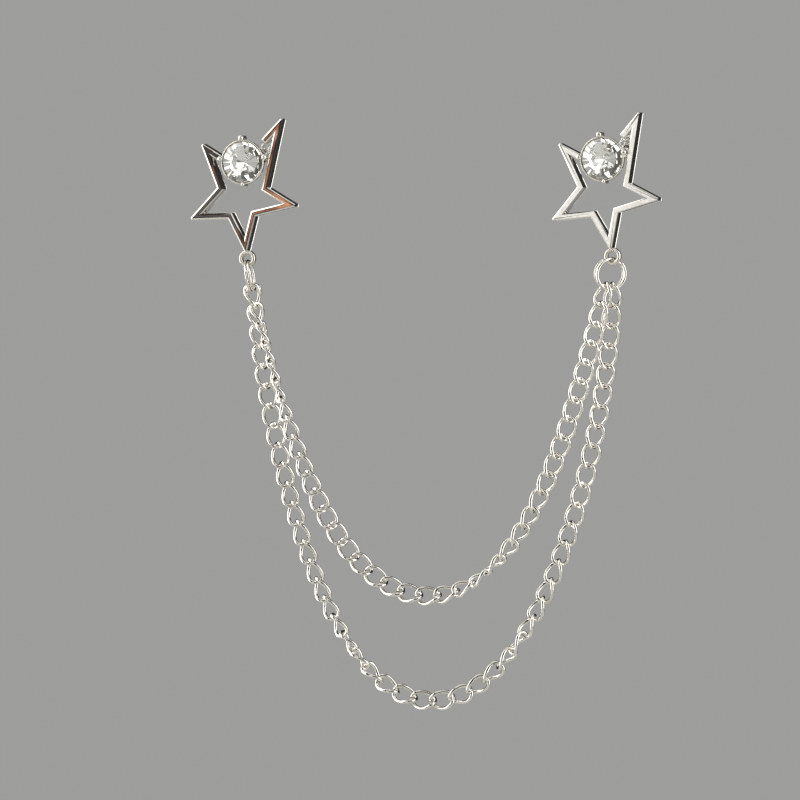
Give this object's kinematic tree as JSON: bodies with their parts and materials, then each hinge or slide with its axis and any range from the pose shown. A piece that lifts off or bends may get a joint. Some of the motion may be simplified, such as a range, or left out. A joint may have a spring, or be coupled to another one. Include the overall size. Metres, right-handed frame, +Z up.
{
  "type": "lapel chain",
  "caption": "Lapel chain: star-shaped pins with a round stone each, joined by hanging strands of twisted links of different length.",
  "frame": {"origin": "midway between the two pin posts, in the plane of the cloth that the stars' backs lie on", "axes": "+Z up, +X from the left star to the right one, -Y forward out of the cloth; the posts run back along +Y"},
  "size_m": [0.0916, 0.0127, 0.1113],
  "materials": {
    "star_metal": "bright plated",
    "chain_metal": "bright plated",
    "stone_glass": "clear, cut"
  },
  "bodies": {
    "root": {"star_left": "star_metal", "star_right": "star_metal", "stone_left": "stone_glass", "stone_right": "stone_glass", "split_ring_left": "chain_metal", "split_ring_right": "chain_metal", "chain_upper": "chain_metal", "chain_lower": "chain_metal"}
  },
  "joints": []
}
